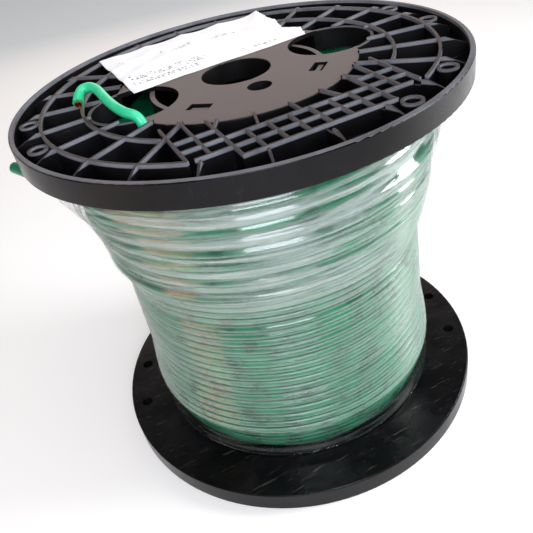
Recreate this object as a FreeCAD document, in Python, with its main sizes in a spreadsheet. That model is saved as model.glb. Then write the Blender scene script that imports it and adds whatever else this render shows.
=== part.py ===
# Wire spool: two ribbed flanges on a moulded barrel, wound with insulated stranded wire.
# Frame: origin on the axis at the base, +Z up along the axis, label towards +Y, millimetres.
import FreeCAD, Part
import math
import os
import Sketcher
from FreeCAD import Placement, Rotation, Vector

doc = FreeCAD.newDocument("wire_spool")

# ---------------------------------------------------------------- driving dimensions
sizes = doc.addObject("Spreadsheet::Sheet", "sizes")
driving = [
    ("flangeRadius", 152.4),      # 12 inch flange
    ("overallHeight", 277.0),
    ("flangeDepth", 16.0),
    ("webThick", 3.3),
    ("rimWall", 3.2),
    ("rimRounding", 1.0),
    ("hubRadius", 82.3),
    ("hubWall", 2.0),
    ("hubDrop", 1.7),             # the hub disc sits this far below the rim
    ("hubPlate", 3.0),
    ("arborRadius", 23.5),
    ("bossWall", 2.4),
    ("driveRadius", 7.94),        # 5/8 inch drive pin
    ("driveOffset", 39.6),
    ("handRadius", 29.0),
    ("handOffset", 71.6),
    ("collarWall", 2.0),
    ("innerRing", 104.5),
    ("outerRing", 132.0),
    ("ringWall", 1.9),
    ("spokeWall", 1.5),
    ("latticeWall", 1.4),
    ("latticePitch", 12.7),
    ("rowPitch", 13.6),
    ("firstRow", 83.3),
    ("gussetDrop", 6.0),
    ("tieRadius", 4.5),
    ("tieOffset", 139.5),
    ("tieWall", 1.9),
    ("tieHalfAngle", 9.8),
    ("windowLength", 15.0),
    ("windowWidth", 9.0),
    ("windowOffset", 58.0),
    ("leadHoleRadius", 3.5),
    ("leadHoleX", -76.8),
    ("leadHoleY", -39.3),
    ("barrelRadius", 60.0),
    ("barrelWall", 3.4),
    ("tabLength", 12.0),
    ("tabRise", 1.8),
    ("windingGap", 2.5),          # between the winding and each flange
    ("windingRadius", 116.0),     # outside of the winding at its lower edge
    ("wireRadius", 3.2),          # 6 AWG stranded, over its insulation
    ("conductorRadius", 2.35),
    ("strandStub", 0.9),
    ("filmWall", 0.8),
    ("softClear", 0.3),
    ("labelThick", 0.35),
]
for row, (alias, number) in enumerate(driving, start=1):
    sizes.set(f"A{row}", alias)
    sizes.set(f"B{row}", str(number))
    sizes.setAlias(f"B{row}", alias)
doc.recompute()

FLANGE_RADIUS = "sizes.flangeRadius"
FLANGE_DEPTH = "sizes.flangeDepth"
PLATE_TOP = "sizes.flangeDepth - sizes.hubDrop"
PLATE_UNDERSIDE = "sizes.flangeDepth - sizes.hubDrop - sizes.hubPlate"
LOWER_FLANGE_TURN = -15.7         # the lower flange is turned against the upper one, degrees
SPOKE_STEP = 15                   # spokes stand every 15 degrees


def size(expression):
    """The number that an expression on the sheet gives."""
    return float(sizes.evalExpression(expression))


def origin_plane(body, role):
    return next(item for item in body.Origin.OriginFeatures if item.Role == role)


def new_sketch(body, name, role, offset=None):
    sketch = body.newObject("Sketcher::SketchObject", name)
    sketch.AttachmentSupport = [(origin_plane(body, role), "")]
    sketch.MapMode = "FlatFace"
    if offset is not None:
        sketch.AttachmentOffset = offset
    return sketch


def bind(sketch, index, expression):
    sketch.setExpression(f"Constraints[{index}]", expression)


def draw_polygon(sketch, corners):
    """A closed outline whose corners are pairs of expressions on the sheet."""
    points = [Vector(size(across), size(along), 0) for across, along in corners]
    first = sketch.GeometryCount
    count = len(points)
    for step in range(count):
        sketch.addGeometry(Part.LineSegment(points[step], points[(step + 1) % count]), False)
    for step in range(count):
        after = first + (step + 1) % count
        sketch.addConstraint(Sketcher.Constraint("Coincident", first + step, 2, after, 1))
    for step, (across, along) in enumerate(corners):
        for kind, expression in (("DistanceX", across), ("DistanceY", along)):
            number = sketch.addConstraint(
                Sketcher.Constraint(kind, -1, 1, first + step, 1, size(expression)))
            bind(sketch, number, expression)


def draw_box(sketch, left, right, low, high):
    draw_polygon(sketch, [(left, low), (right, low), (right, high), (left, high)])


def draw_circle(sketch, across, along, radius):
    centre = Vector(size(across), size(along), 0)
    circle = Part.Circle(centre, Vector(0, 0, 1), size(radius))
    number = sketch.addGeometry(circle, False)
    for kind, expression in (("DistanceX", across), ("DistanceY", along)):
        index = sketch.addConstraint(Sketcher.Constraint(kind, -1, 1, number, 3, size(expression)))
        bind(sketch, index, expression)
    index = sketch.addConstraint(Sketcher.Constraint("Radius", number, size(radius)))
    bind(sketch, index, radius)


def polar(radius, degrees):
    """Expressions for the point at a radius and an angle about the axis."""
    return f"({radius}) * cos({degrees} deg)", f"({radius}) * sin({degrees} deg)"


def draw_bar(sketch, start, end, degrees):
    """The outline of a radial rib at an angle about the axis."""
    corners = []
    for along, side in ((start, "-"), (end, "-"), (end, ""), (start, "")):
        aside = f"{side}sizes.spokeWall / 2"
        corners.append((f"({along}) * cos({degrees} deg) - ({aside}) * sin({degrees} deg)",
                        f"({along}) * sin({degrees} deg) + ({aside}) * cos({degrees} deg)"))
    draw_polygon(sketch, corners)


def turned(degrees):
    return Placement(Vector(0, 0, 0), Rotation(Vector(0, 0, 1), degrees))


def revolve(body, name, sketch, sweep=360):
    feature = body.newObject("PartDesign::Revolution", name)
    feature.Profile = sketch
    feature.ReferenceAxis = (sketch, ["V_Axis"])
    feature.Angle = sweep
    feature.Midplane = sweep < 360
    return feature


def pad(body, name, sketch, length, both_sides=False):
    feature = body.newObject("PartDesign::Pad", name)
    feature.Profile = sketch
    feature.setExpression("Length", length)
    feature.Midplane = both_sides
    return feature


def cut(body, name, sketch, depth):
    """Cut upwards from the sketch, into the solid that stands on it."""
    feature = body.newObject("PartDesign::Pocket", name)
    feature.Profile = sketch
    feature.setExpression("Length", depth)
    feature.Reversed = True
    return feature


def repeat(body, name, feature, sketch, occurrences, sweep):
    pattern = body.newObject("PartDesign::PolarPattern", name)
    pattern.Originals = [feature]
    pattern.Axis = (sketch, ["N_Axis"])
    pattern.Angle = sweep
    pattern.Occurrences = occurrences
    body.Tip = pattern
    return pattern


def round_circles(body, name, base, radius, places):
    """Fillet the circular edges that lie at the given radius and height."""
    doc.recompute()
    edges = []
    for number, edge in enumerate(base.Shape.Edges, start=1):
        if edge.Curve.TypeId != "Part::GeomCircle":
            continue
        for wanted_radius, wanted_level in places:
            same_radius = abs(edge.Curve.Radius - size(wanted_radius)) < 0.01
            same_level = abs(edge.Curve.Center.z - size(wanted_level)) < 0.01
            if same_radius and same_level:
                edges.append(f"Edge{number}")
    feature = body.newObject("PartDesign::Fillet", name)
    feature.Base = (base, edges)
    feature.setExpression("Radius", radius)
    return feature


# ---------------------------------------------------------------- flange
# The flange lies with its smooth face down at zero and its ribs up. The lattice is towards -Y.
def flange_disc(body):
    sketch = new_sketch(body, "disc_profile", "XZ_Plane")
    draw_polygon(sketch, [
        ("sizes.arborRadius", "0"),
        (FLANGE_RADIUS, "0"),
        (FLANGE_RADIUS, FLANGE_DEPTH),
        ("sizes.flangeRadius - sizes.rimWall", FLANGE_DEPTH),
        ("sizes.flangeRadius - sizes.rimWall", "sizes.webThick"),
        ("sizes.hubRadius", "sizes.webThick"),
        ("sizes.hubRadius", PLATE_TOP),
        ("sizes.arborRadius", PLATE_TOP),
    ])
    disc = revolve(body, "disc", sketch)
    round_circles(body, "disc_rounding", disc, "sizes.rimRounding", [
        (FLANGE_RADIUS, "0"),
        (FLANGE_RADIUS, FLANGE_DEPTH),
        ("sizes.hubRadius", PLATE_TOP),
        ("sizes.arborRadius", PLATE_TOP),
    ])


def flange_rings(body):
    """Two ring ribs that stop where the lattice begins."""
    for name, radius, sweep in (("inner_ring", "sizes.innerRing", 268), ("outer_ring", "sizes.outerRing", 294)):
        sketch = new_sketch(body, name + "_profile", "YZ_Plane")
        draw_box(sketch, f"{radius} - sizes.ringWall / 2", f"{radius} + sizes.ringWall / 2",
                 "sizes.webThick / 2", FLANGE_DEPTH)
        revolve(body, name, sketch, sweep)


def flange_spokes(body):
    """Radial ribs from the hub to the outer ring, all round except through the lattice."""
    first_angle = -3 * SPOKE_STEP
    spoke_count = 19
    sketch = new_sketch(body, "spoke_outline", "XY_Plane", turned(first_angle))
    draw_box(sketch, "sizes.hubRadius - sizes.hubWall / 2", "sizes.outerRing",
             "-sizes.spokeWall / 2", "sizes.spokeWall / 2")
    spoke = pad(body, "spoke", sketch, FLANGE_DEPTH)
    repeat(body, "spokes", spoke, sketch, spoke_count, (spoke_count - 1) * SPOKE_STEP)


def flange_gussets(body):
    """Ribs from the outer ring to the rim, which slope down towards the rim."""
    sketch = new_sketch(body, "gusset_profile", "XZ_Plane")
    draw_polygon(sketch, [
        ("sizes.outerRing", "0"),
        ("sizes.flangeRadius - sizes.rimWall / 2", "0"),
        ("sizes.flangeRadius - sizes.rimWall / 2", "sizes.flangeDepth - sizes.gussetDrop"),
        ("sizes.outerRing + 4", FLANGE_DEPTH),
        ("sizes.outerRing", FLANGE_DEPTH),
    ])
    gusset = pad(body, "gusset", sketch, "sizes.spokeWall", both_sides=True)
    repeat(body, "gussets", gusset, new_sketch(body, "gusset_axis", "XY_Plane"), 360 // SPOKE_STEP, 360)


def lattice_row(index):
    """The distance of a lattice row from the flange's centre line."""
    return f"(sizes.firstRow + {index} * sizes.rowPitch)"


def flange_lattice(body):
    """Rows and cross ribs in the front of the flange, in place of the rings and spokes."""
    half = "sizes.latticeWall / 2"
    rows = new_sketch(body, "row_outlines", "XY_Plane")
    for index, first_bay, last_bay in ((0, -5.65, -3.65), (0, 3.35, 5.35), (1, -5.65, 5.35),
                                       (2, -5.3, 4.9), (3, -3.65, 3.4)):
        draw_box(rows, f"{first_bay} * sizes.latticePitch - {half}", f"{last_bay} * sizes.latticePitch + {half}",
                 f"-{lattice_row(index)} - {half}", f"-{lattice_row(index)} + {half}")
    pad(body, "lattice_rows", rows, FLANGE_DEPTH)
    crosses = new_sketch(body, "cross_outlines", "XY_Plane")
    for bay in range(12):
        shift = bay - 5.65
        if abs(shift) > 5:
            top, bottom = "-58", lattice_row(2)
        elif shift < -3 or shift > 3:
            top = f"-sqrt((sizes.hubRadius - 1)^2 - ({shift} * sizes.latticePitch)^2)"
            bottom = lattice_row(2) if abs(shift) > 4 else lattice_row(3)
        else:
            top, bottom = f"-{lattice_row(1)}", lattice_row(3)
        draw_box(crosses, f"{shift} * sizes.latticePitch - {half}", f"{shift} * sizes.latticePitch + {half}",
                 f"-{bottom}", top)
    pad(body, "lattice_crosses", crosses, FLANGE_DEPTH)


def flange_front_ribs(body):
    """Radial ribs that carry on inside and outside the lattice."""
    inner = new_sketch(body, "front_rib_outlines", "XY_Plane")
    outer = new_sketch(body, "front_gusset_outlines", "XY_Plane")
    for degrees, inner_row, outer_row in ((240, 0, 2), (255, 1, 3), (270, 1, 3), (285, 1, 3), (300, 0, 2)):
        slant = f"cos({degrees - 270} deg)"
        draw_bar(inner, "sizes.hubRadius - sizes.hubWall / 2", f"{lattice_row(inner_row)} / {slant}", degrees)
        draw_bar(outer, f"{lattice_row(outer_row)} / {slant}", "sizes.outerRing + 6", degrees)
    pad(body, "front_ribs", inner, FLANGE_DEPTH)
    pad(body, "front_gussets", outer, "sizes.flangeDepth - sizes.gussetDrop / 2")


def flange_collars_and_recess(body):
    """Walls round the two hand holes, and the recess under the hub that takes the barrel."""
    collars = new_sketch(body, "collar_outlines", "XY_Plane")
    for side in ("-", ""):
        draw_circle(collars, f"{side}sizes.handOffset", "0", "sizes.handRadius + sizes.collarWall")
    pad(body, "collars", collars, PLATE_TOP)
    recess = new_sketch(body, "recess_outline", "XY_Plane")
    draw_circle(recess, "0", "0", "sizes.hubRadius - sizes.hubWall")
    draw_circle(recess, "0", "0", "sizes.arborRadius + sizes.bossWall")
    cut(body, "recess", recess, PLATE_UNDERSIDE)
    boss = new_sketch(body, "drive_boss_outline", "XY_Plane")
    draw_circle(boss, "0", "-sizes.driveOffset", "sizes.driveRadius + sizes.bossWall")
    pad(body, "drive_boss", boss, PLATE_TOP)


def flange_tie_tubes(body):
    tubes = new_sketch(body, "tie_tube_outlines", "XY_Plane")
    for degrees in tie_angles():
        draw_circle(tubes, *polar("sizes.tieOffset", degrees), "sizes.tieRadius + sizes.tieWall")
    pad(body, "tie_tubes", tubes, "sizes.flangeDepth - 1")


def tie_angles():
    half = size("sizes.tieHalfAngle")
    return [round(centre + side * half, 3) for centre in (0, 180, 300) for side in (-1, 1)]


def flange_holes(body):
    holes = new_sketch(body, "hole_outlines", "XY_Plane")
    for side in ("-", ""):
        draw_circle(holes, f"{side}sizes.handOffset", "0", "sizes.handRadius")
    draw_circle(holes, "0", "-sizes.driveOffset", "sizes.driveRadius")
    draw_circle(holes, "sizes.leadHoleX", "sizes.leadHoleY", "sizes.leadHoleRadius")
    for degrees in tie_angles():
        draw_circle(holes, *polar("sizes.tieOffset", degrees), "sizes.tieRadius")
    cut(body, "holes", holes, "2 * sizes.flangeDepth")
    window = new_sketch(body, "window_outline", "XY_Plane", turned(45))
    draw_box(window, "sizes.windowOffset - sizes.windowWidth / 2", "sizes.windowOffset + sizes.windowWidth / 2",
             "-sizes.windowLength / 2", "sizes.windowLength / 2")
    first_window = cut(body, "window", window, "2 * sizes.flangeDepth")
    repeat(body, "windows", first_window, window, 4, 360)


def make_flange(name, placement):
    body = doc.addObject("PartDesign::Body", name)
    body.Label = name
    flange_disc(body)
    flange_rings(body)
    flange_spokes(body)
    flange_gussets(body)
    flange_lattice(body)
    flange_front_ribs(body)
    flange_collars_and_recess(body)
    flange_tie_tubes(body)
    flange_holes(body)
    body.Placement = placement
    return body


# ---------------------------------------------------------------- barrel
def make_barrel():
    """A tube between the two hub plates, with four tabs at each end that enter the windows."""
    body = doc.addObject("PartDesign::Body", "barrel")
    body.Label = "barrel"
    inside = "sizes.barrelRadius - sizes.barrelWall"
    low = f"sizes.flangeDepth - ({PLATE_UNDERSIDE})"
    high = f"sizes.overallHeight - sizes.flangeDepth + ({PLATE_UNDERSIDE})"
    tube = new_sketch(body, "tube_profile", "XZ_Plane")
    draw_box(tube, inside, "sizes.barrelRadius", low, high)
    revolve(body, "tube", tube)
    half_tab = math.degrees(size("sizes.tabLength / 2") / size("sizes.barrelRadius"))
    tab = new_sketch(body, "tab_profile", "XZ_Plane", Placement(Vector(), Rotation(Vector(0, 1, 0), 45)))
    draw_box(tab, inside, "sizes.barrelRadius", f"{low} - sizes.tabRise", f"{high} + sizes.tabRise")
    first_tab = revolve(body, "tab", tab, 2 * half_tab)
    repeat(body, "tabs", first_tab, new_sketch(body, "tab_axis", "XY_Plane"), 4, 360)
    return body


# ---------------------------------------------------------------- winding and film
# The outside of the winding as it was wound: even below, two turns deeper near the top.
# Each pair is a height as a part of the winding's length, and a swell beyond windingRadius.
WINDING_SWELL = [(0.0, 0.0), (0.12, 3.0), (0.30, -1.0), (0.55, -1.5), (0.66, 7.0),
                 (0.78, 12.5), (0.88, 14.0), (0.95, 10.0), (1.0, 4.0)]
WINDING_LOW = "(sizes.flangeDepth + sizes.windingGap)"
WINDING_LENGTH = "(sizes.overallHeight - 2 * sizes.flangeDepth - 2 * sizes.windingGap)"


def winding_line(offset):
    return [(f"sizes.windingRadius + {swell} + {offset}", f"{WINDING_LOW} + {part} * {WINDING_LENGTH}")
            for part, swell in WINDING_SWELL]


def make_layer(name, inner_line, outer_line):
    body = doc.addObject("PartDesign::Body", name)
    body.Label = name
    sketch = new_sketch(body, name + "_profile", "XZ_Plane")
    draw_polygon(sketch, inner_line + outer_line[::-1])
    revolve(body, name + "_ring", sketch)
    return body


def make_winding_and_film():
    barrel_side = "sizes.barrelRadius + sizes.softClear"
    one_wire = "(-2 * sizes.wireRadius)"
    core_line = winding_line(one_wire)
    core_inner = [(barrel_side, core_line[0][1]), (barrel_side, core_line[-1][1])]
    inner = make_layer("inner_winding", core_inner, core_line)
    outer = make_layer("outer_winding", winding_line(f"{one_wire} + 0.05"), winding_line("0"))
    film = make_layer("stretch_film", winding_line("sizes.softClear"),
                      winding_line("sizes.softClear + sizes.filmWall"))
    return inner, outer, film


# ---------------------------------------------------------------- wire ends
# Each route runs from where the wire leaves the winding to its cut end.
LEAD_ROUTE = [(-76.8, -39.3, 258.5), (-76.8, -39.3, 266.0), (-75.2, -41.0, 282.0),
              (-86.2, -29.4, 282.2), (-88.8, -8.0, 286.0), (-90.0, 10.0, 288.6),
              (-97.2, 18.8, 289.0), (-103.6, 10.4, 283.6)]
TAIL_ROUTE = [(-100.5, -73.0, 250.0), (-114.3, -54.6, 250.6), (-130.3, -31.6, 251.8),
              (-144.4, -9.4, 254.0), (-155.0, 9.2, 257.2)]
ARC_SHARE = 0.45                  # how much of the shorter run an arc may take


def route_wire(name, route):
    """Straight runs joined by tangent arcs, each as large as its two runs allow."""
    points = [Vector(*point) for point in route]
    edges = []
    start = points[0]
    for before, corner, after in zip(points, points[1:], points[2:]):
        arriving = (corner - before).normalize()
        leaving = (after - corner).normalize()
        half_turn = arriving.getAngle(leaving) / 2
        reach = ARC_SHARE * min((corner - before).Length, (after - corner).Length)
        radius = reach / math.tan(half_turn)
        print(f"{name}: turn {math.degrees(2 * half_turn):.0f} degrees, radius {radius:.1f} mm")
        inward = (leaving - arriving).normalize()
        middle = corner + inward * (radius / math.cos(half_turn) - radius)
        first = corner - arriving * reach
        last = corner + leaving * reach
        edges.append(Part.LineSegment(start, first).toShape())
        edges.append(Part.Arc(first, middle, last).toShape())
        start = last
    edges.append(Part.LineSegment(start, points[-1]).toShape())
    return Part.Wire(edges)


def tube_along(path, radius):
    first = path.Edges[0]
    heading = first.tangentAt(first.FirstParameter)
    ring = Part.Wire([Part.makeCircle(radius, first.valueAt(first.FirstParameter), heading)])
    tube = path.makePipeShell([ring], True, False)
    expected = math.pi * radius ** 2 * path.Length
    print(f"tube radius {radius:.2f}: volume is {tube.Volume / expected:.4f} of section times length")
    return tube


def show(name, shape):
    feature = doc.addObject("Part::Feature", name)
    feature.Label = name
    feature.Shape = shape
    return feature


def make_wire_end(name, route):
    """The insulation as a tube, and the stranded conductor inside it, a little longer."""
    path = route_wire(name, route)
    print(f"{name}: length {path.Length:.1f} mm")
    whole = tube_along(path, size("sizes.wireRadius"))
    conductor_radius = size("sizes.conductorRadius")
    core = tube_along(path, conductor_radius)
    end = Vector(*route[-1])
    heading = (end - Vector(*route[-2])).normalize()
    stub = Part.makeCylinder(conductor_radius, size("sizes.strandStub"), end, heading)
    jacket = show(name + "_jacket", whole.cut(core))
    conductor = show(name + "_conductor", core.fuse(stub).removeSplitter())
    return jacket, conductor, whole


def cut_for_tail(body, tube):
    """The tail leaves the winding through a groove of its own size."""
    tool = show(body.Name + "_groove", tube)
    result = doc.addObject("Part::Cut", body.Name + "_grooved")
    result.Base = body
    result.Tool = tool
    result.Label = body.Name
    return result


# ---------------------------------------------------------------- label
LABEL_OUTLINE = [(-67, 19.5), (-30, 23.6), (0, 24.4), (38, 25.6), (68, 28), (71, 42), (62, 55),
                 (68, 80), (66, 114), (36, 119.5), (-12, 120.5), (-71, 115)]


def make_label():
    body = doc.addObject("PartDesign::Body", "product_label")
    body.Label = "product_label"
    sketch = new_sketch(body, "label_outline", "XY_Plane")
    draw_polygon(sketch, [(str(across), str(along)) for across, along in LABEL_OUTLINE])
    pad(body, "label_sheet", sketch, "sizes.labelThick")
    rest_level = size("sizes.overallHeight") + 0.1
    body.Placement = Placement(Vector(0, 0, rest_level), Rotation())
    return body


# ---------------------------------------------------------------- assembly
upper_level = size("sizes.overallHeight - sizes.flangeDepth")
upper_flange = make_flange("upper_flange", Placement(Vector(0, 0, upper_level), Rotation()))
turned_over = Rotation(Vector(0, 0, 1), LOWER_FLANGE_TURN).multiply(Rotation(Vector(1, 0, 0), 180))
lower_flange = doc.addObject("PartDesign::Body", "lower_flange")   # the same moulding, turned over
lower_flange.BaseFeature = upper_flange
lower_flange.Placement = Placement(Vector(0, 0, size(FLANGE_DEPTH)), turned_over)
barrel = make_barrel()
inner_winding, outer_winding, stretch_film = make_winding_and_film()
lead_jacket, lead_conductor, lead_tube = make_wire_end("lead_end", LEAD_ROUTE)
tail_jacket, tail_conductor, tail_tube = make_wire_end("tail_end", TAIL_ROUTE)
product_label = make_label()
doc.recompute()

grooved = [cut_for_tail(body, tail_tube) for body in (inner_winding, outer_winding, stretch_film)]
doc.recompute()

nodes = {
    "upper_flange": upper_flange,
    "lower_flange": lower_flange,
    "barrel": barrel,
    "inner_winding": grooved[0],
    "outer_winding": grooved[1],
    "stretch_film": grooved[2],
    "lead_end_jacket": lead_jacket,
    "lead_end_conductor": lead_conductor,
    "tail_end_jacket": tail_jacket,
    "tail_end_conductor": tail_conductor,
    "product_label": product_label,
}

# ---------------------------------------------------------------- checks and files
faults = [item.Name for item in doc.Objects if "Invalid" in item.State or "Error" in item.State]
for name, node in nodes.items():
    if node.Shape.isNull() or not node.Shape.isValid() or not node.Shape.Solids:
        faults.append(name)
if faults:
    raise RuntimeError("faulty objects: " + ", ".join(faults))
os.makedirs("parts", exist_ok=True)
for name, node in nodes.items():
    node.Shape.exportStep(f"parts/{name}.step")
    print(f"{name}: {len(node.Shape.Solids)} solid, {node.Shape.Volume / 1000:.1f} cm3")
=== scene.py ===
import math
import random

import bpy
from mathutils import Euler, Matrix, Quaternion, Vector, noise


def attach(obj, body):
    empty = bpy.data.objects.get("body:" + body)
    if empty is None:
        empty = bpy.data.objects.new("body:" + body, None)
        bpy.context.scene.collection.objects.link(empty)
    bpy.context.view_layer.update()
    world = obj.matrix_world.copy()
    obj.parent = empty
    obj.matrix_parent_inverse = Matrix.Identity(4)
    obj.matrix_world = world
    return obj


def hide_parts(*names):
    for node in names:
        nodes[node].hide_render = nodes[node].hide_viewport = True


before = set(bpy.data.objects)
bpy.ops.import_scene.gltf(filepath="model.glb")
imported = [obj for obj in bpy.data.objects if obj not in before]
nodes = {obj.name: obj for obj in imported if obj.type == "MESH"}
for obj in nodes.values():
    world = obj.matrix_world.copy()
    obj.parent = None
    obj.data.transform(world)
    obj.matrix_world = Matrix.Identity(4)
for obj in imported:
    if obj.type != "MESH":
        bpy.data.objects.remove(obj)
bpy.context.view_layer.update()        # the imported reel: flanges, barrel, winding, film, label and wire ends
mm = 0.001               # every length below is in metres
fullTurn = 2 * math.pi
print("frame loaded:", ", ".join(sorted(nodes)))

scene = bpy.context.scene
scene.view_settings.view_transform = "Standard"
scene.view_settings.exposure = 0.0

cameraView = {
    "place": (-0.12924, -0.38627, 0.40578),
    "aim": (-0.01907, -0.03291, 0.13850),
    "roll": -12.55,      # degrees, the reel leans to the left in the view
    "lens": 40.95,
}


def makeCamera():
    data = bpy.data.cameras.new("camera")
    data.lens = cameraView["lens"]
    data.sensor_width = 36
    data.clip_start = 0.02
    eye = bpy.data.objects.new("camera", data)
    scene.collection.objects.link(eye)
    place, aim = Vector(cameraView["place"]), Vector(cameraView["aim"])
    eye.location = place
    eye.rotation_mode = "QUATERNION"
    lean = Quaternion((0, 0, 1), math.radians(cameraView["roll"]))
    eye.rotation_quaternion = (aim - place).to_track_quat("-Z", "Y") @ lean
    scene.camera = eye


makeCamera()
print("camera placed")


def smooth(low, high, value):
    share = min(1.0, max(0.0, (value - low) / (high - low)))
    return share * share * (3 - 2 * share)


def keepOnly(piece):
    bpy.ops.object.select_all(action="DESELECT")
    piece.select_set(True)
    bpy.context.view_layer.objects.active = piece


def meshPiece(name, points, faces):
    mesh = bpy.data.meshes.new(name)
    mesh.from_pydata(points, [], faces)
    mesh.update()
    piece = bpy.data.objects.new(name, mesh)
    scene.collection.objects.link(piece)
    return piece


def applyModifier(piece, kind, **settings):
    modifier = piece.modifiers.new(kind.lower(), kind)
    for key, value in settings.items():
        setattr(modifier, key, value)
    keepOnly(piece)
    bpy.ops.object.modifier_apply(modifier=modifier.name)


def softEdges(piece, degrees):
    keepOnly(piece)
    bpy.ops.object.shade_smooth_by_angle(angle=math.radians(degrees))


# The wire: 6 AWG stranded copper in a green jacket, 6.4 mm across.
wire = {
    "diameter": 6.4 * mm,
    "conductor": 4.7 * mm,
    "strands": (1, 6, 12),        # the strands in each ring of the conductor
    "flare": 1.16,                # the cutters spread the end a little
    "rounds": 5,
}

# The winding as it was laid: even below, looser and two turns deeper near the top.
winding = {
    "low": 18.5 * mm,
    "length": 240 * mm,
    "radius": 116 * mm,
    "swell": [(0.0, 0.0), (0.12, 3.0), (0.30, -1.0), (0.55, -1.5), (0.66, 7.0),
              (0.78, 12.5), (0.88, 14.0), (0.95, 10.0), (1.0, 4.0)],
    "pitch": 6.52 * mm,
    "pointsPerTurn": 16,
    "evenDrop": 0.35 * mm,        # how far turns lie below their neighbours, lower down
    "looseDrop": 4.6 * mm,        # and near the top
    "footDrop": 2.4 * mm,         # the turns next to the lower flange lie deeper
    "foot": (24 * mm, 44 * mm),
    "wander": 0.5 * mm,           # how far a turn strays up and down
}


def windingRadius(height):
    share = (height - winding["low"]) / winding["length"]
    share = min(1.0, max(0.0, share))
    pairs = winding["swell"]
    for (before, first), (after, last) in zip(pairs, pairs[1:]):
        if share <= after:
            swell = first + (last - first) * smooth(before, after, share)
            return winding["radius"] + swell * mm
    return winding["radius"] + pairs[-1][1] * mm


def looseness(height):
    share = (height - winding["low"]) / winding["length"]
    return smooth(0.50, 0.68, share)


# Radius and height of the wire's centre line after so many turns.
def turnPlace(turns):
    height = winding["low"] + wire["diameter"] / 2 + winding["pitch"] * turns
    height += winding["wander"] * noise.noise((turns * 1.3, 4.7, 0))
    loose = looseness(height)
    most = winding["evenDrop"] * (1 - loose) + winding["looseDrop"] * loose
    drop = most * (0.5 + noise.noise((turns * 1.9, 0, 9.1)))
    foot = winding["footDrop"] * (1 - smooth(*winding["foot"], height))
    radius = windingRadius(height) - wire["diameter"] / 2 - max(0.0, drop) - foot
    return radius, height


turnCount = (winding["length"] - wire["diameter"]) / winding["pitch"]


def curveAlong(name, points, radius, rounds=0, steps=8):
    data = bpy.data.curves.new(name, "CURVE")
    data.dimensions = "3D"
    data.resolution_u = steps
    spline = data.splines.new("NURBS")
    spline.points.add(len(points) - 1)
    for spot, point in zip(spline.points, points):
        spot.co = (*point, 1)
    spline.order_u = 3            # set after the points are in
    spline.use_endpoint_u = True
    data.bevel_depth = radius
    data.bevel_resolution = rounds
    data.use_fill_caps = True
    piece = bpy.data.objects.new(name, data)
    scene.collection.objects.link(piece)
    return piece


# A solid tube along the smooth line of these points, and the line itself.
def tubeAlong(name, points, radius, rounds, steps, flare=1.0):
    piece = curveAlong(name, points, radius, rounds, steps)
    piece.data.splines[0].points[-1].radius = flare
    keepOnly(piece)
    bpy.ops.object.convert(target="MESH")
    piece = bpy.context.object
    softEdges(piece, 50)
    return piece, lineOf(points)


# The points that the wire's smooth line really goes through.
def lineOf(route):
    plain = curveAlong("plainLine", route, 0, steps=24)
    mesh = bpy.data.meshes.new_from_object(plain)
    points = [vertex.co.copy() for vertex in mesh.vertices]
    bpy.data.objects.remove(plain)
    return points


def lengthOf(points):
    return sum((after - before).length for before, after in zip(points, points[1:]))


def makeTurns():
    points = []
    for step in range(round(turnCount * winding["pointsPerTurn"]) + 1):
        turns = step / winding["pointsPerTurn"]
        radius, height = turnPlace(turns)
        radius /= math.cos(math.pi / winding["pointsPerTurn"]) ** 0.75   # the line cuts inside its points
        angle = fullTurn * turns
        points.append((radius * math.cos(angle), radius * math.sin(angle), height))
    turnsPiece, line = tubeAlong("outer_turns", points, wire["diameter"] / 2, rounds=2, steps=4)
    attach(turnsPiece, "root")
    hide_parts("outer_winding")
    return turnsPiece


# Each end runs from where it leaves the winding to where it was cut.
leadRoute = [(-0.0768, -0.0393, 0.2585), (-0.0768, -0.0393, 0.2660), (-0.0764, -0.0396, 0.2806),
             (-0.0850, -0.0300, 0.2834), (-0.0888, -0.0080, 0.2860), (-0.0900, 0.0100, 0.2886),
             (-0.0936, 0.0184, 0.2892), (-0.1006, 0.0186, 0.2882), (-0.1040, 0.0100, 0.2836)]
tailRoute = [(-0.1005, -0.0730, 0.2500), (-0.1143, -0.0546, 0.2506), (-0.1303, -0.0316, 0.2518),
             (-0.1444, -0.0094, 0.2540), (-0.1558, 0.0098, 0.2576)]


# The bare strands in a cut end, each a little longer or shorter than the next.
def makeStrands(name, line):
    across = wire["conductor"] / (2 * len(wire["strands"]) - 1)
    tip, inward = line[-1], (line[-6] - line[-1]).normalized()
    frameTurn = (-inward).to_track_quat("Z", "Y")
    random.seed(name)
    parts = []
    for ring, count in enumerate(wire["strands"]):
        for step in range(count):
            angle = fullTurn * (step + 0.5 * ring) / count
            bpy.ops.object.select_all(action="DESELECT")
            bpy.ops.mesh.primitive_cylinder_add(vertices=12, radius=across * 0.49, depth=4.5 * mm)
            strand = bpy.context.object
            applyModifier(strand, "BEVEL", width=0.12 * mm, segments=2)
            stub = (1.2 + 0.8 * random.random()) * mm - 2.25 * mm
            splay = 0.07 * ring
            place = Vector((ring * across * math.cos(angle), ring * across * math.sin(angle), stub))
            tilt = Euler((-splay * math.sin(angle), splay * math.cos(angle), 0)).to_quaternion()
            own = Matrix.Translation(place) @ tilt.to_matrix().to_4x4()
            strand.data.transform(Matrix.Translation(tip) @ frameTurn.to_matrix().to_4x4() @ own)
            strand.matrix_world = Matrix.Identity(4)
            parts.append(strand)
    bpy.ops.object.select_all(action="DESELECT")
    for part in parts:
        part.select_set(True)
    bpy.context.view_layer.objects.active = parts[0]
    bpy.ops.object.join()
    parts[0].name = name
    softEdges(parts[0], 40)
    return parts[0]


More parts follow.
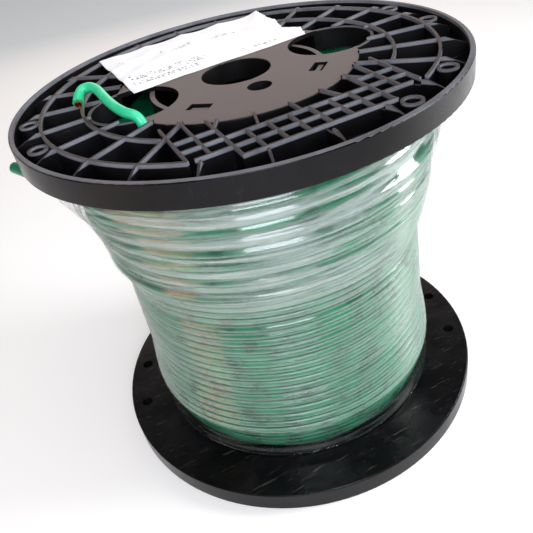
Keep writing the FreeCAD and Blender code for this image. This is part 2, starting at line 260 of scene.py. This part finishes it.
def makeWireEnd(name, route):
    jacket, line = tubeAlong(name + "_wire", route, wire["diameter"] / 2, wire["rounds"], 16, wire["flare"])
    strands = makeStrands(name + "_strands", line)
    for piece, node, slot in ((jacket, name + "_jacket", "wire_insulation"),
                              (strands, name + "_conductor", "copper_strand")):
        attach(piece, "root")
        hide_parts(node)
    print(f"{name}: {lengthOf(line) * 1000:.0f} mm")
    return jacket, strands


turnsPiece = makeTurns()
leadWire, leadStrands = makeWireEnd("lead_end", leadRoute)
tailWire, tailStrands = makeWireEnd("tail_end", tailRoute)
print("wire laid")

# Stretch film: one wrap and a lap, drawn tight over the turns that stand proud.
film = {
    "columns": 208,
    "rows": 216,
    "low": 16.9 * mm,
    "high": 260.0 * mm,
    "lap": 0.04,                  # how much of a turn the outer end laps over
    "start": 62,                  # degrees round the axis where the inner end lies
    "clear": 0.30 * mm,
    "lapRise": 0.35 * mm,
    "sag": 0.20,                  # how deep it dips between two turns, as a part of their spacing
    "bridge": (22 * mm, 41 * mm),     # here it stands clear of the turns
    "wall": 0.10 * mm,
    "pucker": 0.45 * mm,
    # Where it stands off the turns: bearing, half width in degrees, low, full and top height, how far.
    "bulges": [(176, 46, 206 * mm, 254 * mm, 18 * mm), (-25, 34, 206 * mm, 226 * mm, 4.5 * mm)],
}


# Where the film rests on the turns along one upright line, leaving out the turns it bridges.
def filmSupports(angle):
    rests = []
    turns = angle / fullTurn % 1
    while turns <= turnCount:
        radius, height = turnPlace(turns)
        if not film["bridge"][0] < height < film["bridge"][1]:
            rests.append((height, radius + wire["diameter"] / 2 + film["clear"]))
        turns += 1
    changed = True
    while changed:
        changed = False
        for spot in range(1, len(rests) - 1):
            (low, first), (height, radius), (high, last) = rests[spot - 1:spot + 2]
            line = first + (last - first) * (height - low) / (high - low)
            if high - low < 30 * mm and height > 50 * mm and radius < line - film["sag"] * (high - low) * 0.7:
                del rests[spot]
                changed = True
                break
    bottom = (film["low"], rests[0][1] - 1.5 * mm)
    top = (film["high"], rests[-1][1] - 3.0 * mm)
    return [bottom] + rests + [top]


def filmBulge(angle, height):
    off = 0.0
    for bearing, width, low, full, most in film["bulges"]:
        apart = abs((math.degrees(angle) - bearing + 180) % 360 - 180)
        off += most * smooth(width, 0, apart) * smooth(low, full, height)
    return off


def filmRadius(rests, angle, height):
    for (low, first), (high, last) in zip(rests, rests[1:]):
        if height <= high or high == rests[-1][0]:
            share = (height - low) / (high - low)
            depth = film["sag"] * (high - low) * (1 if low > film["bridge"][1] or high < 30 * mm else 0.2)
            dip = depth * (1 - math.cos(fullTurn * share)) / 2
            loose = looseness(height)
            around = Vector((math.cos(angle), math.sin(angle), 0))
            crease = noise.noise(around * 5 + Vector((0, 0, height * 150)))
            crease += 0.5 * noise.noise(around * 17 + Vector((3, 0, height * 420)))
            radius = first + (last - first) * share - dip + film["pucker"] * (0.25 + loose) * max(0, crease)
            return radius + filmBulge(angle, height)
    return rests[-1][1]


def makeFilm():
    points, faces = [], []
    rows, columns = film["rows"], film["columns"]
    for column in range(columns + 1):
        share = column / columns
        angle = math.radians(film["start"]) + fullTurn * (1 + film["lap"]) * share
        rests = filmSupports(angle)
        rise = film["lapRise"] * smooth(1 - film["lap"] * 2.5, 1 - film["lap"], share)
        for row in range(rows + 1):
            height = film["low"] + (film["high"] - film["low"]) * row / rows
            radius = filmRadius(rests, angle, height) + rise
            points.append((radius * math.cos(angle), radius * math.sin(angle), height))
    for column in range(columns):
        for row in range(rows):
            first = column * (rows + 1) + row
            faces.append((first, first + rows + 1, first + rows + 2, first + 1))
    piece = meshPiece("wrapped_film", points, faces)
    layer = piece.data.uv_layers.new(name="wrap")
    around = fullTurn * winding["radius"] * (1 + film["lap"])
    for loop in piece.data.loops:
        column, row = divmod(loop.vertex_index, rows + 1)
        layer.data[loop.index].uv = (around * column / columns, (film["high"] - film["low"]) * row / rows)
    piece.data.shade_smooth()
    applyModifier(piece, "SOLIDIFY", thickness=film["wall"], offset=1)
    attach(piece, "root")
    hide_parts("stretch_film")
    return piece


filmPiece = makeFilm()

# Paper label: a cut sheet with one torn side, sagging into the pockets under it.
label = {
    "left": [(-67, 19.5), (-71, 115)],
    "bottom": [(-67, 19.5), (-30, 23.6), (0, 24.4), (38, 25.6), (68, 28)],
    "right": [(68, 28), (71, 42), (62, 55), (68, 80), (66, 114)],
    "top": [(-71, 115), (-12, 120.5), (36, 119.5), (66, 114)],
    "columns": 110,
    "rows": 80,
    "rest": 277.12 * mm,
    "disc": 275.45 * mm,          # the hub disc lies lower than the ribs
    "hub": 82.3 * mm,
    "rings": (82.3, 104.5, 132.0),
    "spokeStep": 15,
    "sag": 1.5 * mm,
    "wall": 0.12 * mm,
}


def alongSide(side, share):
    lengths = [math.dist(before, after) for before, after in zip(side, side[1:])]
    left = share * sum(lengths)
    for (before, after), length in zip(zip(side, side[1:]), lengths):
        if left <= length or after == side[-1]:
            part = min(1.0, left / length)
            return Vector(before).lerp(Vector(after), part)
        left -= length


def labelHeight(x, y):
    reach = math.hypot(x, y)
    onDisc = smooth(label["hub"], label["hub"] - 9 * mm, reach)
    height = label["rest"] + (label["disc"] - label["rest"]) * onDisc
    rings = [ring * mm for ring in label["rings"]]
    for inner, outer in zip(rings, rings[1:]):
        if inner < reach < outer:
            across = math.sin(math.pi * (reach - inner) / (outer - inner))
            spoke = math.degrees(math.atan2(y, x)) / label["spokeStep"]
            along = abs(math.sin(math.pi * spoke))
            height -= label["sag"] * across * along
    height += 0.25 * mm * noise.noise((x * 60, y * 60, 0)) + 0.10 * mm
    curl = smooth(52 * mm, 70 * mm, x) * smooth(60 * mm, 112 * mm, y)
    return height + 3.0 * mm * curl * curl


def makeLabel():
    corners = [Vector(label["bottom"][0]), Vector(label["bottom"][-1]),
               Vector(label["top"][0]), Vector(label["top"][-1])]
    points, faces = [], []
    for row in range(label["rows"] + 1):
        up = row / label["rows"]
        leftSide, rightSide = alongSide(label["left"], up), alongSide(label["right"], up)
        rightSide.x += 1.1 * noise.noise((up * 31, 2, 0)) + 0.6 * noise.noise((up * 90, 7, 0))
        for column in range(label["columns"] + 1):
            side = column / label["columns"]
            low, high = alongSide(label["bottom"], side), alongSide(label["top"], side)
            spot = low.lerp(high, up) + leftSide.lerp(rightSide, side)
            spot -= corners[0].lerp(corners[1], side).lerp(corners[2].lerp(corners[3], side), up)
            x, y = spot * mm
            points.append((x, y, labelHeight(x, y)))
    for row in range(label["rows"]):
        for column in range(label["columns"]):
            first = row * (label["columns"] + 1) + column
            above = first + label["columns"] + 1
            faces.append((first, first + 1, above + 1, above))
    piece = meshPiece("paper_label", points, faces)
    piece.data.shade_smooth()
    applyModifier(piece, "SOLIDIFY", thickness=label["wall"], offset=1)
    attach(piece, "root")
    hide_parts("product_label")
    return piece


labelPiece = makeLabel()


# An sRGB hex value as linear red, green, blue and alpha.
def colour(hexValue):
    parts = [int(hexValue[place:place + 2], 16) / 255 for place in (1, 3, 5)]
    return (*[part / 12.92 if part <= 0.04045 else ((part + 0.055) / 1.055) ** 2.4 for part in parts], 1)


def newMaterial(name):
    material = bpy.data.materials.new(name)
    material.use_nodes = True
    material.node_tree.nodes.clear()
    return material


# Adds a node. Settings are its properties and plain inputs, links its inputs from other nodes.
def addNode(material, kind, settings=None, **links):
    node = material.node_tree.nodes.new("ShaderNode" + kind)
    for key, value in (settings or {}).items():
        if isinstance(key, str) and hasattr(node, key):
            setattr(node, key, value)
        else:
            node.inputs[key].default_value = value
    for key, source in links.items():
        place = int(key[1:]) if key[0] == "i" and key[1:].isdigit() else key.replace("_", " ")
        material.node_tree.links.new(node.inputs[place], source)
    return node


def ramp(material, source, stops):
    node = addNode(material, "ValToRGB", Fac=source)
    marks = node.color_ramp.elements
    for (place, shade), number in zip(stops, range(len(stops))):
        mark = marks[number] if number < 2 else marks.new(place)
        mark.position = place
        mark.color = shade if isinstance(shade, tuple) else (shade, shade, shade, 1)
    return node.outputs["Color"]


def output(material, shader):
    addNode(material, "OutputMaterial", Surface=shader)
    return material


# High-impact polystyrene, black, injection moulded: polished where the mould was turned, matt on the ribs
# where it was eroded, dusty and scuffed on the faces that lie upwards; painted highlight on the upper rib
# faces and rim, painted sheen on the inner faces.
reelPlastic = {
    "deep": "#040405",
    "worn": "#0e0d10",
    # painted highlight: the pale grey laid on the upper rib faces and on the rim's flat faces
    "rib": "#868891",
    "dust": "#6c6262",
    "scuff": "#958c8a",
    "paintedInnerSheen": "#29282d",       # painted sheen on the smooth faces next to the wire, standing in for their glossy reflection
    "innerFaces": 121 * mm,
    "ior": 1.59,
    "specular": 0.15,
    "polish": 0.20,
    "ribRoughness": 0.50,
    "discRoughness": 0.40,
    "wornRoughness": 0.14,        # added where it is worn
    "middle": 138.5 * mm,         # half the reel's height
    "ribWear": (135.9 * mm, 136.7 * mm),  # from the middle: painted highlight, the rib faces paler towards their tops where light falls on them
    "ends": 133.5 * mm,           # further out than this a face lies open to dust
    "hub": 82.3 * mm,
    "rim": 150.6 * mm,
    "rimEdge": 148.2 * mm,
    "edge": 0.35 * mm,
    "grain": 1.6 * mm,
    "cloud": 26 * mm,
    "scuffLength": 22 * mm,
    # how strongly the painted highlight lightens the rim's flat faces
    "rimHighlightShare": 0.5,
}


def makeReelPlastic():
    look = reelPlastic
    material = newMaterial("moulded_black_polystyrene")
    place = addNode(material, "TexCoord").outputs["Object"]
    height = addNode(material, "SeparateXYZ", Vector=place).outputs["Z"]
    fromMiddle = addNode(material, "Math", {"operation": "SUBTRACT", 1: look["middle"]}, i0=height).outputs[0]
    fromMiddle = addNode(material, "Math", {"operation": "ABSOLUTE"}, i0=fromMiddle).outputs[0]
    facing = addNode(material, "NewGeometry").outputs["Normal"]
    upward = addNode(material, "SeparateXYZ", Vector=facing).outputs["Z"]
    flatness = addNode(material, "Math", {"operation": "ABSOLUTE"}, i0=upward).outputs[0]
    steep = addNode(material, "Math", {"operation": "LESS_THAN", 1: 0.5}, i0=flatness).outputs[0]
    flatPlace = addNode(material, "VectorMath", {"operation": "MULTIPLY", 1: (1, 1, 0)}, i0=place).outputs[0]
    reach = addNode(material, "VectorMath", {"operation": "LENGTH"}, i0=flatPlace).outputs["Value"]
    inside = addNode(material, "Math", {"operation": "LESS_THAN", 1: look["rim"]}, i0=reach).outputs[0]
    ribFace = addNode(material, "Math", {"operation": "MULTIPLY"}, i0=steep, i1=inside).outputs[0]
    ribTop = addNode(material, "MapRange", {"interpolation_type": "SMOOTHSTEP", 1: look["ribWear"][0],
                     2: look["ribWear"][1]}, i0=fromMiddle).outputs[0]
    clouds = addNode(material, "TexNoise", {"Scale": 1 / look["cloud"], "Detail": 6.0, "Roughness": 0.6},
                     Vector=place)
    fine = addNode(material, "TexNoise", {"Scale": 1 / look["grain"], "Detail": 3.0}, Vector=place)
    stretched = addNode(material, "Mapping", {"Rotation": (0, 0, 0.6), "Scale": (1, 14, 6)}, Vector=place)
    scuffs = addNode(material, "TexNoise", {"Scale": 1 / look["scuffLength"], "Detail": 8.0,
                     "Roughness": 0.72, "Distortion": 0.6}, Vector=stretched.outputs[0])
    scuffMask = ramp(material, scuffs.outputs[0], [(0.60, 0.0), (0.70, 1.0)])
    wornMask = ramp(material, clouds.outputs[0], [(0.38, 0.0), (0.68, 1.0)])
    body = addNode(material, "Mix", {"data_type": "RGBA", 6: colour(look["deep"]),
                   7: colour(look["worn"])}, i0=wornMask).outputs[2]
    patchy = ramp(material, clouds.outputs[0], [(0.30, 0.45), (0.62, 1.0)])
    offHub = addNode(material, "Math", {"operation": "GREATER_THAN", 1: look["hub"]}, i0=reach).outputs[0]
    # painted highlight: the rib faces lightened towards their tops, where light reaches them above the shaded
    # pockets
    ribAmount = addNode(material, "Math", {"operation": "MULTIPLY"}, i0=ribFace, i1=ribTop).outputs[0]
    ribAmount = addNode(material, "Math", {"operation": "MULTIPLY"}, i0=ribAmount, i1=offHub).outputs[0]
    ribAmount = addNode(material, "Math", {"operation": "MULTIPLY"}, i0=ribAmount, i1=patchy).outputs[0]
    ribbed = addNode(material, "Mix", {"data_type": "RGBA", 7: colour(look["rib"])},
                     i0=ribAmount, i6=body).outputs[2]
    lying = addNode(material, "Math", {"operation": "GREATER_THAN", 1: 0.7}, i0=flatness).outputs[0]
    atEnd = addNode(material, "Math", {"operation": "GREATER_THAN", 1: look["ends"]},
                    i0=fromMiddle).outputs[0]
    onHub = addNode(material, "Math", {"operation": "LESS_THAN", 1: look["hub"]}, i0=reach).outputs[0]
    lyingOpen = addNode(material, "Math", {"operation": "MULTIPLY"}, i0=lying, i1=atEnd).outputs[0]
    settled = addNode(material, "MapRange", {3: 0.30, 4: 1.0}, i0=onHub).outputs[0]
    # this patchy mask spreads both the real dust and the painted sheen on the inner faces
    dustAndSheenAmount = ramp(material, clouds.outputs[0], [(0.25, 0.50), (0.75, 0.95)])
    dustMask = addNode(material, "Math", {"operation": "MULTIPLY"}, i0=lyingOpen, i1=dustAndSheenAmount).outputs[0]
    dustMask = addNode(material, "Math", {"operation": "MULTIPLY"}, i0=dustMask, i1=settled).outputs[0]
    dustAndPaintedLight = addNode(material, "Mix", {"data_type": "RGBA", 7: colour(look["dust"])},
                    i0=dustMask, i6=ribbed).outputs[2]
    # painted sheen: the flat inner faces next to the wire lightened where they would show glossy reflections
    inner = addNode(material, "Math", {"operation": "LESS_THAN", 1: look["innerFaces"]},
                    i0=fromMiddle).outputs[0]
    inner = addNode(material, "Math", {"operation": "MULTIPLY"}, i0=inner, i1=lying).outputs[0]
    innerSheenAmount = addNode(material, "Math", {"operation": "MULTIPLY"}, i0=inner, i1=dustAndSheenAmount).outputs[0]
    dustAndPaintedLight = addNode(material, "Mix", {"data_type": "RGBA", 7: colour(look["paintedInnerSheen"])},
                    i0=innerSheenAmount, i6=dustAndPaintedLight).outputs[2]
    # painted highlight: the flat rim faces at both ends lightened with the highlight grey, in patches
    onRim = addNode(material, "Math", {"operation": "GREATER_THAN", 1: look["rimEdge"]}, i0=reach).outputs[0]
    rimHighlight = addNode(material, "Math", {"operation": "MULTIPLY"}, i0=onRim, i1=atEnd).outputs[0]
    rimHighlight = addNode(material, "Math", {"operation": "MULTIPLY"}, i0=rimHighlight, i1=lying).outputs[0]
    rimHighlight = addNode(material, "Math", {"operation": "MULTIPLY"}, i0=rimHighlight, i1=patchy).outputs[0]
    rimHighlight = addNode(material, "Math", {"operation": "MULTIPLY", 1: look["rimHighlightShare"]}, i0=rimHighlight).outputs[0]
    dustAndPaintedLight = addNode(material, "Mix", {"data_type": "RGBA", 7: colour(look["rib"])},
                    i0=rimHighlight, i6=dustAndPaintedLight).outputs[2]
    scuffAmount = addNode(material, "MapRange", {3: 0.04, 4: 0.30}, i0=lying).outputs[0]
    scuffAmount = addNode(material, "Math", {"operation": "MULTIPLY"},
                          i0=scuffMask, i1=scuffAmount).outputs[0]
    scuffedWithPaintedLight = addNode(material, "Mix", {"data_type": "RGBA", 7: colour(look["scuff"])},
                      i0=scuffAmount, i6=dustAndPaintedLight).outputs[2]
    rough = addNode(material, "MapRange", {3: look["polish"], 4: look["ribRoughness"]}, i0=ribFace).outputs[0]
    rough = addNode(material, "Mix", {"data_type": "FLOAT", 3: look["discRoughness"]},
                    i0=lyingOpen, i2=rough).outputs[0]
    rough = addNode(material, "Math", {"operation": "MULTIPLY_ADD", 1: look["wornRoughness"]},
                    i0=wornMask, i2=rough).outputs[0]
    rounded = addNode(material, "Bevel", {"samples": 4, "Radius": look["edge"]}).outputs[0]
    bump = addNode(material, "Bump", {"Strength": 0.10, "Distance": 0.15 * mm},
                   Height=fine.outputs[0], Normal=rounded).outputs[0]
    shader = addNode(material, "BsdfPrincipled", {"IOR": look["ior"], "Specular IOR Level": look["specular"]},
                     Base_Color=scuffedWithPaintedLight, Roughness=rough, Normal=bump)
    return output(material, shader.outputs[0])


# Nylon over PVC, extruded: a wet gloss on a clean green, with faint lines along the wire.
wireGreen = {
    "light": "#0b825a",
    "deep": "#06523a",
    "paintedLitEndLight": "#35e0a6",        # painted light: a brighter, lit copy of the jacket green above, for the lead end, which no film covers
    "paintedLitEndDeep": "#12b881",
    "ior": 1.53,
    "roughness": 0.24,
    "cloudScale": 60.0,           # patches about 17 mm across
    "grainScale": 900.0,
}


def makeWireGreen(name, light, deep):
    material = newMaterial(name)
    place = addNode(material, "TexCoord").outputs["Object"]
    clouds = addNode(material, "TexNoise", {"Scale": wireGreen["cloudScale"], "Detail": 4.0}, Vector=place)
    fine = addNode(material, "TexNoise", {"Scale": wireGreen["grainScale"], "Detail": 2.0}, Vector=place)
    mask = ramp(material, clouds.outputs[0], [(0.3, 0.0), (0.7, 1.0)])
    body = addNode(material, "Mix", {"data_type": "RGBA", 6: colour(deep), 7: colour(light)},
                   i0=mask).outputs[2]
    rough = addNode(material, "MapRange", {3: wireGreen["roughness"], 4: wireGreen["roughness"] + 0.12},
                    i0=mask).outputs[0]
    bump = addNode(material, "Bump", {"Strength": 0.06, "Distance": 0.1 * mm}, Height=fine.outputs[0])
    shader = addNode(material, "BsdfPrincipled", {"IOR": wireGreen["ior"], "Coat Weight": 0.3,
                     "Coat Roughness": 0.1}, Base_Color=body, Roughness=rough, Normal=bump.outputs[0])
    return output(material, shader.outputs[0])


# Soft drawn copper, sheared with cutters: bright orange where fresh, browner where handled.
copper = {"fresh": "#e08a5a", "brown": "#9a4f30", "roughness": 0.3}


def makeCopper():
    material = newMaterial("drawn_bare_copper")
    place = addNode(material, "TexCoord").outputs["Object"]
    spots = addNode(material, "TexNoise", {"Scale": 700.0, "Detail": 4.0}, Vector=place)
    mask = ramp(material, spots.outputs[0], [(0.35, 0.0), (0.65, 1.0)])
    body = addNode(material, "Mix", {"data_type": "RGBA", 6: colour(copper["brown"]),
                   7: colour(copper["fresh"])}, i0=mask).outputs[2]
    bump = addNode(material, "Bump", {"Strength": 0.2, "Distance": 0.05 * mm}, Height=spots.outputs[0])
    shader = addNode(material, "BsdfPrincipled", {"Metallic": 1.0, "Roughness": copper["roughness"]},
                     Base_Color=body, Normal=bump.outputs[0])
    return output(material, shader.outputs[0])


# Linear low-density polyethylene stretch film: clear, glossy, milky where it is doubled or creased.
filmLook = {
    "milk": "#b4c4bd",
    "gloss": "#f0f4f2",
    "roughness": 0.12,
    "least": 0.0,                 # how milky it is where it lies tight
    "most": 0.10,
    "loose": 0.55,                # and in the folds near the top
    "looseFrom": (128 * mm, 170 * mm),    # measured up the sheet
    "layers": 0.95,
    "mostGloss": 0.15,
}


def makeFilmLook():
    material = newMaterial("stretched_polyethylene_film")
    wrap = addNode(material, "UVMap", {"uv_map": "wrap"}).outputs[0]
    around = addNode(material, "Mapping", {"Scale": (9, 90, 1)}, Vector=wrap)
    streaks = addNode(material, "TexNoise", {"Scale": 3.0, "Detail": 6.0, "Roughness": 0.6},
                      Vector=around.outputs[0])
    wrinkles = addNode(material, "Mapping", {"Scale": (10, 95, 1)}, Vector=wrap)
    creases = addNode(material, "TexNoise", {"Scale": 3.0, "Detail": 3.0}, Vector=wrinkles.outputs[0])
    milk = ramp(material, streaks.outputs[0], [(0.42, 0.0), (0.78, 1.0)])
    edge = addNode(material, "Fresnel", {"IOR": 1.5}).outputs[0]
    mirror = addNode(material, "Math", {"operation": "MULTIPLY", "use_clamp": True, 1: filmLook["layers"]},
                     i0=edge).outputs[0]
    mirror = addNode(material, "Math", {"operation": "MINIMUM", 1: filmLook["mostGloss"]},
                     i0=mirror).outputs[0]
    hazy = addNode(material, "MapRange", {3: filmLook["least"], 4: filmLook["most"]}, i0=milk).outputs[0]
    up = addNode(material, "SeparateXYZ", Vector=wrap).outputs["Y"]
    loose = addNode(material, "MapRange", {"interpolation_type": "SMOOTHSTEP", 1: filmLook["looseFrom"][0],
                    2: filmLook["looseFrom"][1]}, i0=up).outputs[0]
    bands = addNode(material, "Mapping", {"Scale": (7, 95, 1), "Rotation": (0, 0, 0.02)}, Vector=wrap)
    bands = addNode(material, "TexNoise", {"Scale": 1.0, "Detail": 5.0, "Roughness": 0.65, "Distortion": 0.4},
                    Vector=bands.outputs[0])
    folds = ramp(material, bands.outputs[0], [(0.47, 0.0), (0.62, filmLook["loose"])])
    folded = addNode(material, "Math", {"operation": "MULTIPLY"}, i0=folds, i1=loose).outputs[0]
    hazy = addNode(material, "Math", {"operation": "ADD", "use_clamp": True}, i0=hazy, i1=folded).outputs[0]
    bump = addNode(material, "Bump", {"Strength": 0.5, "Distance": 0.6 * mm}, Height=creases.outputs[0])
    clear = addNode(material, "BsdfTransparent")
    gloss = addNode(material, "BsdfAnisotropic", {"Roughness": filmLook["roughness"],
                    "Color": colour(filmLook["gloss"])}, Normal=bump.outputs[0])
    haze = addNode(material, "BsdfPrincipled", {"Roughness": 0.4, "IOR": 1.5,
                   "Base Color": colour(filmLook["milk"])}, Normal=bump.outputs[0])
    veiled = addNode(material, "MixShader", i0=hazy, i1=clear.outputs[0], i2=haze.outputs[0])
    mixed = addNode(material, "MixShader", i0=mirror, i1=veiled.outputs[0], i2=gloss.outputs[0])
    return output(material, mixed.outputs[0])


# Clay-coated label paper: bright white, half matt, with grey thermal print.
labelLook = {
    "paper": "#fafbfe",
    "ink": "#5a606c",
    "roughness": 0.45,
    "blocks": [(-33, 50, 30, 5.5), (-38, 38, 24, 3.0), (-15, 91, 13, 2.0), (34, 37, 15, 2.4),
               (24, 84, 10, 2.4), (-59, 92, 3.2, 3.2), (46.5, 74, 1.8, 2.4)],
    "row": 3.8 * mm,
}


def makeLabelLook():
    material = newMaterial("coated_label_paper")
    place = addNode(material, "TexCoord").outputs["Object"]
    parts = addNode(material, "SeparateXYZ", Vector=place)
    total = None
    for x, y, halfWidth, halfHeight in labelLook["blocks"]:
        inX = addNode(material, "Math", {"operation": "COMPARE", 1: x * mm, 2: halfWidth * mm},
                      i0=parts.outputs["X"]).outputs[0]
        inY = addNode(material, "Math", {"operation": "COMPARE", 1: y * mm, 2: halfHeight * mm},
                      i0=parts.outputs["Y"]).outputs[0]
        both = addNode(material, "Math", {"operation": "MULTIPLY"}, i0=inX, i1=inY).outputs[0]
        total = both if total is None else addNode(
            material, "Math", {"operation": "MAXIMUM"}, i0=total, i1=both).outputs[0]
    scaled = addNode(material, "Mapping", {"Scale": (620, 190, 1)}, Vector=place)
    strokes = addNode(material, "TexNoise", {"Scale": 1.0, "Detail": 2.0}, Vector=scaled.outputs[0])
    marks = ramp(material, strokes.outputs[0], [(0.50, 0.0), (0.58, 1.0)])
    rowWave = addNode(material, "Math", {"operation": "PINGPONG", 1: labelLook["row"] / 2},
                      i0=parts.outputs["Y"]).outputs[0]
    rowMask = addNode(material, "Math", {"operation": "GREATER_THAN", 1: labelLook["row"] * 0.18},
                      i0=rowWave).outputs[0]
    inked = addNode(material, "Math", {"operation": "MULTIPLY"}, i0=total, i1=marks).outputs[0]
    inked = addNode(material, "Math", {"operation": "MULTIPLY"}, i0=inked, i1=rowMask).outputs[0]
    fibre = addNode(material, "TexNoise", {"Scale": 240.0, "Detail": 5.0}, Vector=place)
    body = addNode(material, "Mix", {"data_type": "RGBA", 6: colour(labelLook["paper"]),
                   7: colour(labelLook["ink"])}, i0=inked).outputs[2]
    bump = addNode(material, "Bump", {"Strength": 0.12, "Distance": 0.2 * mm}, Height=fibre.outputs[0])
    shader = addNode(material, "BsdfPrincipled", {"Roughness": labelLook["roughness"], "IOR": 1.5},
                     Base_Color=body, Normal=bump.outputs[0])
    return output(material, shader.outputs[0])


reelLook, copperLook = makeReelPlastic(), makeCopper()
greenLook = makeWireGreen("extruded_green_nylon_jacket", wireGreen["light"], wireGreen["deep"])
# painted light: the lead end gets a lit, brighter copy of the same jacket green
paintedLitEndLook = makeWireGreen("extruded_green_nylon_painted_lit_end", wireGreen["paintedLitEndLight"], wireGreen["paintedLitEndDeep"])
looks = {
    reelLook: [nodes["upper_flange"], nodes["lower_flange"], nodes["barrel"]],
    greenLook: [nodes["inner_winding"], turnsPiece, tailWire],
    paintedLitEndLook: [leadWire],
    copperLook: [leadStrands, tailStrands],
    makeFilmLook(): [filmPiece],
    makeLabelLook(): [labelPiece],
}
for material, pieces in looks.items():
    for piece in pieces:
        piece.data.materials.clear()
        piece.data.materials.append(material)
print("materials on")

floorLook = {"colour": "#ececec", "roughness": 0.7, "glow": 0.24, "size": 8.0}


def makeFloor():
    bpy.ops.object.select_all(action="DESELECT")
    bpy.ops.mesh.primitive_plane_add(size=floorLook["size"])
    floor = bpy.context.object
    floor.name = "floor"
    material = newMaterial("pale_floor")
    shader = addNode(material, "BsdfPrincipled", {"Base Color": colour(floorLook["colour"]),
                     "Roughness": floorLook["roughness"], "Emission Color": (1, 1, 1, 1),
                     "Emission Strength": floorLook["glow"]})
    floor.data.materials.append(output(material, shader.outputs[0]))


# Each lamp stands at a bearing and a height round the reel's middle, in degrees, and faces it.
lamps = [
    {"name": "front_softbox", "bearing": -108, "rise": 24, "far": 1.3, "size": (0.7, 0.6), "power": 12,
     "tint": "#f2f6ff"},
    {"name": "top_softbox", "bearing": -60, "rise": 80, "far": 1.9, "size": (1.6, 1.6), "power": 13,
     "tint": "#ffffff"},
    {"name": "back_panel", "bearing": 73, "rise": 22, "far": 1.4, "size": (1.5, 0.6), "power": 4.0,
     "tint": "#ffeadb"},
    {"name": "left_glow", "bearing": 192, "rise": 8, "far": 1.0, "size": (0.5, 0.8), "power": 1.8,
     "tint": "#ffb48c"},
    {"name": "right_softbox", "bearing": -22, "rise": 24, "far": 1.1, "size": (0.35, 0.9), "power": 11,
     "tint": "#ffffff"},
]
skyLook = {"colour": "#eef1f6", "strength": 0.26}


def makeLights():
    for lamp in lamps:
        data = bpy.data.lights.new(lamp["name"], "AREA")
        data.shape = "RECTANGLE"
        data.size, data.size_y = lamp["size"]
        data.energy = lamp["power"]
        data.color = colour(lamp["tint"])[:3]
        light = bpy.data.objects.new(lamp["name"], data)
        scene.collection.objects.link(light)
        bearing, rise = math.radians(lamp["bearing"]), math.radians(lamp["rise"])
        level = math.cos(rise)
        away = Vector((math.cos(bearing) * level, math.sin(bearing) * level, math.sin(rise)))
        light.location = Vector((0, 0, 0.15)) + away * lamp["far"]
        light.rotation_euler = (-away).to_track_quat("-Z", "Y").to_euler()
    world = bpy.data.worlds.new("sky")
    scene.world = world
    world.use_nodes = True
    background = world.node_tree.nodes["Background"]
    background.inputs["Color"].default_value = colour(skyLook["colour"])
    background.inputs["Strength"].default_value = skyLook["strength"]


makeFloor()
makeLights()
print("floor and lights set")
